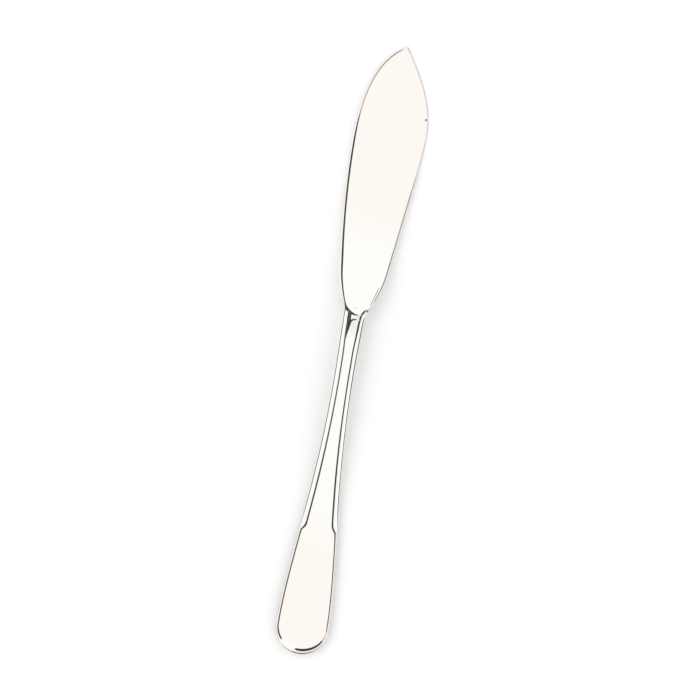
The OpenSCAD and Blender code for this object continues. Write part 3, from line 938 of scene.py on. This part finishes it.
@dataclass(frozen=True)
class Graph:
    """Shader nodes of one tree, each added with its settings and inputs in one call."""

    tree: bpy.types.NodeTree

    def feed(self, node: bpy.types.Node, inputs: dict) -> None:
        """Sets inputs of a node to constants and links sockets to them.

        Args:
            node: The node.
            inputs: Constants and sockets by the name or number of the input.
        """
        for name, value in inputs.items():
            if isinstance(value, Socket):
                self.tree.links.new(value, node.inputs[name])
            else:
                node.inputs[name].default_value = value

    def node(self, kind: str, inputs: dict, **settings: str | bool) -> bpy.types.Node:
        """Adds a node.

        Args:
            kind: Kind of the node, without the prefix that all have.
            inputs: Constants and sockets by the name or number of the input.
            settings: Properties of the node.

        Returns:
            The node.
        """
        node = self.tree.nodes.new(f"ShaderNode{kind}")
        for name, value in settings.items():
            setattr(node, name, value)
        self.feed(node, inputs)
        return node

    def add(self, kind: str, out: str, inputs: dict, **settings: str | bool) -> Socket:
        """Adds a node and gives one of its outputs."""
        return self.node(kind, inputs, **settings).outputs[out]

    def scaled(self, value: Socket, by: float, more: Socket) -> Socket:
        """Adds a value times a factor to another value."""
        return self.add("Math", "Value", {0: value, 1: by, 2: more}, operation="MULTIPLY_ADD")


def new_material(name: str) -> tuple[Material, Graph, bpy.types.Node]:
    """Makes a material with nodes.

    Args:
        name: Its name.

    Returns:
        The material, its graph and its shader.
    """
    material = bpy.data.materials.new(name)
    material.use_nodes = True
    return material, Graph(material.node_tree), material.node_tree.nodes["Principled BSDF"]


@dataclass(frozen=True)
class MetalFinish:
    """Mirror polished metal, cool at the neck and warm at both ends, scratched, a little tarnished, and with
    painted shade in its hollows.

    Lengths are in metres and scales per metre.
    """

    finish: Finish
    colour: Triple
    blush: Triple
    tarnish_and_shade: Triple
    roughness: float
    scratch_depth: float
    neck_x: float = -0.0075
    blush_from: float = 0.048
    blush_to: float = 0.072
    cloud_scale: float = 38.0
    cloud_shift: float = 0.03
    stain_scale: float = 900.0
    scratch_scale: Triple = (220.0, 9000.0, 9000.0)
    scratch_turn: float = 0.06
    scratch_share: Pair = (0.6, 0.75)
    scratch_size: float = 0.00001
    rubbed_rough: float = 0.03
    scratched_rough: float = 0.05
    haze_share: Pair = (0.8, 1.3)

    def material(self) -> Material:
        """Makes the material: two tones by the distance from the neck, painted shade and tarnish in hollows,
        long scratches.

        Returns:
            The material.
        """
        material, graph, shader = new_material(self.finish.value)
        at = graph.add("TexCoord", "Object", {})
        clouds = graph.add("TexNoise", "Fac", {"Vector": at, "Scale": self.cloud_scale, "Detail": 2.0})
        along = graph.add("SeparateXYZ", "X", {"Vector": at})
        from_neck = graph.add("Math", "Value", {0: along, 1: -self.neck_x}, operation="ADD")
        away = graph.add("Math", "Value", {0: from_neck}, operation="ABSOLUTE")
        clouded = graph.scaled(clouds, self.cloud_shift, away)
        blush = {"Value": clouded, "From Min": self.blush_from, "From Max": self.blush_to}
        warmth = graph.add("MapRange", "Result", blush, interpolation_type="SMOOTHSTEP")
        tones = {"A": (*self.colour, 1.0), "B": (*self.blush, 1.0), "Factor": warmth}
        tone = graph.add("Mix", "Result", tones, data_type="RGBA")

        # Painted shade and tarnish: the share read from the mesh, broken up by noise, mixes the dark tone
        # into the colour.
        shade_and_tarnish = graph.add("Attribute", "Fac", {}, attribute_name="shade_and_tarnish")
        stain = graph.add("TexNoise", "Fac", {"Vector": at, "Scale": self.stain_scale, "Detail": 4.0})
        shade_and_tarnish_share = graph.add("Math", "Value", {0: shade_and_tarnish, 1: stain}, operation="MULTIPLY")
        coats = {"A": tone, "B": (*self.tarnish_and_shade, 1.0), "Factor": shade_and_tarnish_share}
        coat = graph.add("Mix", "Result", coats, data_type="RGBA")

        stretch = {"Vector": at, "Scale": self.scratch_scale, "Rotation": (0.0, 0.0, self.scratch_turn)}
        lengthwise = graph.add("Mapping", "Vector", stretch)
        scratches = graph.add("TexNoise", "Fac", {"Vector": lengthwise, "Scale": 1.0, "Detail": 3.0})
        kept = dict(zip(("From Min", "From Max"), self.scratch_share))
        fine = graph.add("MapRange", "Result", {"Value": scratches, **kept})
        rub = graph.add("Attribute", "Fac", {}, attribute_name="rub")
        clear, dull = (self.roughness * share for share in self.haze_share)
        haze = graph.add("MapRange", "Result", {"Value": clouds, "To Min": clear, "To Max": dull})
        rough = graph.scaled(fine, self.scratched_rough, graph.scaled(rub, self.rubbed_rough, haze))
        cuts = {"Height": fine, "Strength": self.scratch_depth, "Distance": self.scratch_size}
        bump = graph.add("Bump", "Normal", cuts, invert=True)
        graph.feed(shader, {"Metallic": 1.0, "Base Color": coat, "Roughness": rough, "Normal": bump})
        return material


@dataclass(frozen=True)
class CementFinish:
    """Matt cement with grains and pores."""

    colour: Triple = (0.55, 0.5, 0.42)
    grain: Triple = (0.4, 0.36, 0.3)
    grain_scale: float = 2200.0
    roughness: float = 0.9
    pore_strength: float = 0.4
    pore_size: float = 0.0001

    def material(self) -> Material:
        """Makes the material: grains mixed into the colour, rough, with pores as bumps.

        Returns:
            The material.
        """
        material, graph, shader = new_material(Finish.CEMENT.value)
        at = graph.add("TexCoord", "Object", {})
        grains = graph.add("TexNoise", "Fac", {"Vector": at, "Scale": self.grain_scale, "Detail": 5.0})
        tones = {"A": (*self.colour, 1.0), "B": (*self.grain, 1.0), "Factor": grains}
        tone = graph.add("Mix", "Result", tones, data_type="RGBA")
        dips = {"Height": grains, "Strength": self.pore_strength, "Distance": self.pore_size}
        pores = graph.add("Bump", "Normal", dips)
        graph.feed(shader, {"Roughness": self.roughness, "Base Color": tone, "Normal": pores})
        return material


BLADE_FINISH = MetalFinish(
    Finish.BLADE, colour=(0.99, 0.99, 0.94), blush=(0.99, 0.938, 0.893), tarnish_and_shade=(0.55, 0.54, 0.44),
    roughness=0.06, scratch_depth=0.25,
)
PLATE_FINISH = MetalFinish(
    Finish.PLATE, colour=(0.99, 0.985, 0.945), blush=(0.99, 0.94, 0.888), tarnish_and_shade=(0.55, 0.53, 0.42),
    roughness=0.06, scratch_depth=0.25,
)
SOLDER_FINISH = MetalFinish(
    Finish.SOLDER, colour=(0.98, 0.975, 0.93), blush=(0.97, 0.945, 0.89), tarnish_and_shade=(0.5, 0.48, 0.4),
    roughness=0.09, scratch_depth=0.2,
)


def dressed(piece: Thing, slot: str, material: Material, *nodes: str) -> Thing:
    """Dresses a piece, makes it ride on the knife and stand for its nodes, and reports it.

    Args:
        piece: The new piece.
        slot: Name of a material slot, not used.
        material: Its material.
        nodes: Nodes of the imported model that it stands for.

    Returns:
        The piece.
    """
    piece.data.materials.append(material)
    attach(piece, "root")
    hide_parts(*nodes)
    log.info("%s: %d triangles", piece.name, len(piece.data.polygons))
    return piece


@dataclass(frozen=True)
class Blade:
    """The blade with its heel and the tang hidden in the handle."""

    form: BladeForm = BladeForm()

    def build(self, material: Material) -> Thing:
        """Builds the blade as an upper and a lower sheet, joined along spine and edge and at both ends.

        Args:
            material: Finish of the blade.

        Returns:
            The piece.
        """
        x, y, middle, half, shade_and_tarnish, rub = self.form.surface()
        upper = with_shares(x, y, middle + half, shade_and_tarnish, rub)
        lower = with_shares(x, y, np.maximum(middle - half, 0.0), shade_and_tarnish, rub)
        net = Net()
        net.sheet(upper, flip=True)
        net.sheet(lower)
        net.sheet(np.stack([upper[:, 0], lower[:, 0]]), flip=True)
        net.sheet(np.stack([upper[:, -1], lower[:, -1]]))
        net.sheet(np.stack([upper[0], lower[0]]))
        net.sheet(np.stack([upper[-1], lower[-1]]), flip=True)
        return dressed(net.build("blade_with_tang"), "blade_steel", material, "blade")


class HalfSide(Enum):
    """The two halves of the handle: name, node and side of the seam."""

    FRONT = ("handle_front_half", "handle_front_shell", 1)
    BACK = ("handle_back_half", "handle_back_shell", -1)


@dataclass(frozen=True)
class HandleHalf:
    """One stamped half of the handle, with its wall."""

    half: HalfSide
    form: HandleForm = HandleForm()

    def build(self, material: Material) -> Thing:
        """Builds the half as an outer and an inner sheet, joined along the rim and at the mouth.

        Args:
            material: Finish of the handle.

        Returns:
            The piece.
        """
        name, node, turned = self.half.value
        columns = self.form.columns()
        sheets = []
        for inset in (0.0, self.form.wall):
            out, height, shade_and_tarnish, rub = self.form.section(columns, inset)
            x, y, z = self.form.placed(columns, out, height, turned)
            sheets.append(with_shares(x, y, np.maximum(z, 0.0), shade_and_tarnish, rub))
        outer, inner = sheets
        front = turned > 0
        net = Net()
        net.sheet(outer, flip=front)
        net.sheet(inner, flip=not front)
        net.sheet(np.stack([outer[:, 0], inner[:, 0]]), flip=front)
        net.sheet(np.stack([outer[0], inner[0]]), flip=not front)
        net.sheet(np.stack([outer[-1], inner[-1]]), flip=front)
        return dressed(net.build(name), "handle_plate", material, node)


@dataclass(frozen=True)
class SeamLine:
    """The hairline of solder between the rims of the two halves."""

    form: HandleForm = HandleForm()
    half: float = 0.03
    recessed: float = 0.03
    tarnish_and_shade: float = 0.6
    outer_rows: int = 7

    def build(self, material: Material) -> Thing:
        """Builds the line as a flat ring profile, rounded outside, carried around the rim.

        Args:
            material: Finish of the solder.

        Returns:
            The piece.
        """
        columns = self.form.columns()
        reach = self.form.reach(columns)
        turn = np.radians(np.linspace(90.0, -90.0, self.outer_rows))
        outside = reach - self.recessed - self.half * (1.0 - np.cos(turn))
        inside = reach - self.form.wall + self.recessed
        out = np.concatenate([outside, inside, inside], axis=1)
        height = np.concatenate([self.half * np.sin(turn), [-self.half, self.half]])[None, :] + 0.0 * out
        x, y, z = self.form.placed(columns, out, height, 1)
        ring = with_shares(x, y, z, self.tarnish_and_shade)
        net = Net()
        net.sheet(ring, ring=True)
        half = ring.shape[1] // 2
        for end, flip in ((ring[0], True), (ring[-1], False)):
            pairs = np.stack([np.concatenate([end[:half], end[half - 1:half]]), end[half:][::-1]])
            net.sheet(pairs, flip=flip)
        return dressed(net.build("seam_solder_line"), "solder", material, "seam_solder")


@dataclass(frozen=True)
class HeelSolder:
    """The solder between the mouth of the handle and the heel, with a slot for the tang."""

    heel: Heel = Heel()
    clear: float = 0.02
    slot_half: float = 1.63
    slot_height: float = 0.52
    end_half: float = 3.36
    tarnish_and_shade: float = 0.7
    top_columns: int = 90
    side_columns: int = 7

    def build(self, material: Material) -> Thing:
        """Builds a collar: loops from the slot out to top and bottom, on the mouth side and the heel side.

        Args:
            material: Finish of the solder.

        Returns:
            The piece.
        """
        heel = self.heel
        top = np.linspace(1.0, -1.0, self.top_columns)
        side = np.linspace(1.0, -1.0, self.side_columns)[1:-1]
        across = np.concatenate([top, np.full_like(side, -1.0), top[::-1], np.full_like(side, 1.0)])
        lift = np.concatenate([np.ones_like(top), side, -np.ones_like(top), -side])
        loops = []
        for inward in (self.clear, heel.gap - self.clear):
            radius = heel.radius + heel.gap - inward
            for share in (0.0, 0.5, 1.0):
                y = mix(across * self.slot_half, heel.centre_y + across * self.end_half, share)
                x = heel.centre_x - np.sqrt(radius**2 - (y - heel.centre_y) ** 2)
                height = mix(self.slot_height, heel.wall_height(x, y), share)
                loops.append(with_shares(x, y, heel.side_view.middle(x) + lift * height, self.tarnish_and_shade))
        mouth, face = np.stack(loops[:3]), np.stack(loops[3:])
        net = Net()
        net.sheet(mouth, ring=True, flip=True)
        net.sheet(face, ring=True)
        net.sheet(np.stack([mouth[-1], face[-1]]), ring=True, flip=True)
        net.sheet(np.stack([mouth[0], face[0]]), ring=True)
        return dressed(net.build("heel_solder_collar"), "solder", material, "heel_solder")


@dataclass(frozen=True)
class Studio:
    """Pale floor, soft light and the camera straight above the knife.

    Each small panel has its name, its angle in degrees around the handle's end from the picture's lower side,
    its angle above the table, its two sides in metres and its brightness.
    """

    turn: float = -80.57
    lens: float = 300.0
    sensor: float = 36.0
    nearest: float = 0.01
    field_width: float = 0.1988
    aim: Triple = (0.0, 0.0012, 0.002)
    dome: float = 0.92
    key: float = 0.1
    glow: float = 0.085
    paper: float = 0.93
    floor_side: float = 1.5
    floor_z: float = -0.00002
    overhead_way: Triple = (0.14, 0.0, 1.0)
    overhead_edges: Pair = (42.0, 22.0)
    wall_way: Triple = (-0.2, 1.0, 0.0)
    wall_span: Pair = (0.75, 1.0)
    wall_tones: Pair = (0.055, 0.4)
    key_way: Triple = (-0.7, 0.25, 0.9)
    key_angle: float = 40.0
    handle_end: Triple = (-0.08, 0.0017, 0.003)
    panel_far: float = 0.5
    panels: tuple = (
        ("lower_left_panel", -36.0, 47.0, (0.27, 0.42), 1.0),
        ("lower_right_panel", 64.0, 36.0, (0.24, 0.62), 0.5),
    )

    def way(self, right: float, up: float, height: float) -> Array:
        """Direction given by its parts to the right and up in the picture and up from the table.

        Args:
            right: Part to the right.
            up: Part up in the picture.
            height: Part up from the table.

        Returns:
            Direction of unit length.
        """
        turn = math.radians(self.turn)
        x = right * math.cos(turn) - up * math.sin(turn)
        y = right * math.sin(turn) + up * math.cos(turn)
        found = np.array([x, y, height])
        return found / np.linalg.norm(found)

    def camera(self) -> None:
        """Sets the camera over the knife, looking straight down, its distance from the field and the lens."""
        data = bpy.data.cameras.new("camera_above")
        data.lens = self.lens
        data.sensor_width = self.sensor
        data.clip_start = self.nearest
        camera = bpy.data.objects.new("camera_above", data)
        distance = self.field_width * self.lens / self.sensor
        camera.location = (self.aim[0], self.aim[1], self.aim[2] + distance)
        camera.rotation_euler = (0.0, 0.0, math.radians(self.turn))
        bpy.context.scene.collection.objects.link(camera)
        bpy.context.scene.camera = camera

    def floor(self) -> None:
        """Lays the pale floor just under the knife.

        Camera and metal see a little light in it, so that it is white where no shadow falls.
        """
        mesh = bpy.data.meshes.new("studio_floor")
        side, low = self.floor_side, self.floor_z
        corners = [(-side, -side, low), (side, -side, low), (side, side, low), (-side, side, low)]
        mesh.from_pydata(corners, [], [(0, 1, 2, 3)])
        floor = bpy.data.objects.new("studio_floor", mesh)
        bpy.context.scene.collection.objects.link(floor)
        material, graph, shader = new_material("pale_floor_paper")
        pale = (self.paper, self.paper, self.paper, 1.0)
        graph.feed(shader, {"Base Color": pale, "Roughness": 1.0, "Specular IOR Level": 0.0})
        paper = shader.outputs["BSDF"]
        glow = graph.add("Emission", "Emission", {"Strength": self.glow})
        glowing = graph.add("AddShader", "Shader", {0: paper, 1: glow})
        rays = graph.node("LightPath", {}).outputs
        either = graph.add("Math", "Value", {0: rays["Is Camera Ray"], 1: rays["Is Glossy Ray"]})
        any_of = graph.add("Math", "Value", {0: either, 1: rays["Is Transmission Ray"]})
        seen = graph.add("MixShader", "Shader", {"Fac": any_of, 1: paper, 2: glowing})
        graph.feed(material.node_tree.nodes["Material Output"], {"Surface": seen})
        mesh.materials.append(material)

    def world(self) -> None:
        """Makes the studio around the knife.

        The camera sees white. The metal sees a broad soft light overhead, a little to the right, over dark
        walls that are paler towards the top of the picture. Everything else is lit by an even dome.
        """
        world = bpy.data.worlds.new("studio_room")
        bpy.context.scene.world = world
        world.use_nodes = True
        world.node_tree.nodes.clear()
        graph = Graph(world.node_tree)
        outward = graph.add("TexCoord", "Generated", {})

        def facing(way: Array, span: Pair, values: Pair) -> Socket:
            """Value that eases from the first to the second as the direction turns to a way, by its cosine.

            Args:
                way: The way.
                span: Cosines at which the value starts and ends to change.
                values: The first and the second value.

            Returns:
                The value's socket.
            """
            dot = graph.add("VectorMath", "Value", {0: outward, 1: way}, operation="DOT_PRODUCT")
            ends = dict(zip(("From Min", "From Max", "To Min", "To Max"), (*span, *values)))
            return graph.add("MapRange", "Result", {"Value": dot, **ends}, interpolation_type="SMOOTHSTEP")

        edges = tuple(math.cos(math.radians(angle)) for angle in self.overhead_edges)
        overhead = facing(self.way(*self.overhead_way), edges, (0.0, 1.0))
        walls = facing(self.way(*self.wall_way), self.wall_span, self.wall_tones)
        tone = graph.add("Mix", "Result", {"Factor": overhead, "A": walls, "B": 1.0})
        room = graph.add("Background", "Background", {"Color": tone})
        dome = graph.add("Background", "Background", {"Color": (self.dome, self.dome, self.dome, 1.0)})
        white = graph.add("Background", "Background", {"Color": (1.0, 1.0, 1.0, 1.0)})
        rays = graph.node("LightPath", {}).outputs
        mirrored = graph.add("MixShader", "Shader", {"Fac": rays["Is Glossy Ray"], 1: dome, 2: room})
        seen = graph.add("MixShader", "Shader", {"Fac": rays["Is Camera Ray"], 1: mirrored, 2: white})
        graph.node("OutputWorld", {"Surface": seen})

    def hang(self, data: bpy.types.Light, way: Array) -> Thing:
        """Hangs a light in a direction from the round end of the handle, facing it.

        Args:
            data: The light.
            way: Direction of unit length.

        Returns:
            The lamp.
        """
        lamp = bpy.data.objects.new(data.name, data)
        lamp.location = np.array(self.handle_end) + self.panel_far * way
        lamp.rotation_euler = (math.acos(way[2]), 0.0, math.atan2(way[1], way[0]) + math.pi / 2)
        bpy.context.scene.collection.objects.link(lamp)
        return lamp

    def lamps(self, handle: Thing) -> None:
        """Hangs the soft key light at the left and two small panels that the round end of the handle mirrors.

        Args:
            handle: Piece that mirrors the small panels.
        """
        sun = bpy.data.lights.new("soft_key", "SUN")
        way = self.way(*self.key_way)
        sun.angle = math.radians(self.key_angle)
        sun.energy = self.key * math.pi / way[2]
        self.hang(sun, way).visible_glossy = False

        mirrors = bpy.data.collections.new("mirrors_small_panels")
        mirrors.objects.link(handle)
        for name, around, lifted, size, bright in self.panels:
            panel = bpy.data.lights.new(name, "AREA")
            panel.shape = "RECTANGLE"
            panel.size, panel.size_y = size
            panel.energy = math.pi * panel.size * panel.size_y * bright
            side, lift = math.radians(around), math.radians(lifted)
            lamp = self.hang(panel, self.way(
                math.sin(side) * math.cos(lift), -math.cos(side) * math.cos(lift), math.sin(lift)
            ))
            lamp.visible_camera = lamp.visible_diffuse = False
            lamp.light_linking.receiver_collection = mirrors

    def build(self, handle: Thing) -> None:
        """Builds the floor, the room, the lamps and the camera.

        Args:
            handle: Front half of the handle.
        """
        self.floor()
        self.world()
        self.lamps(handle)
        self.camera()
        bpy.context.scene.view_settings.view_transform = "Standard"
        log.info("studio: floor, room, key light and camera")


def main() -> None:
    """Builds the knife piece by piece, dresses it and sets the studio."""
    logging.basicConfig(level=logging.INFO, format="%(message)s")
    plate, solder = PLATE_FINISH.material(), SOLDER_FINISH.material()
    Blade().build(BLADE_FINISH.material())
    front = HandleHalf(HalfSide.FRONT).build(plate)
    HandleHalf(HalfSide.BACK).build(plate)
    SeamLine().build(solder)
    HeelSolder().build(solder)
    core = bpy.data.objects["handle_filler"]
    core.data.materials.clear()
    core.data.materials.append(CementFinish().material())
    log.info("handle_filler: packed node with the cement finish")
    Studio().build(front)


if __name__ == "__main__":
    main()
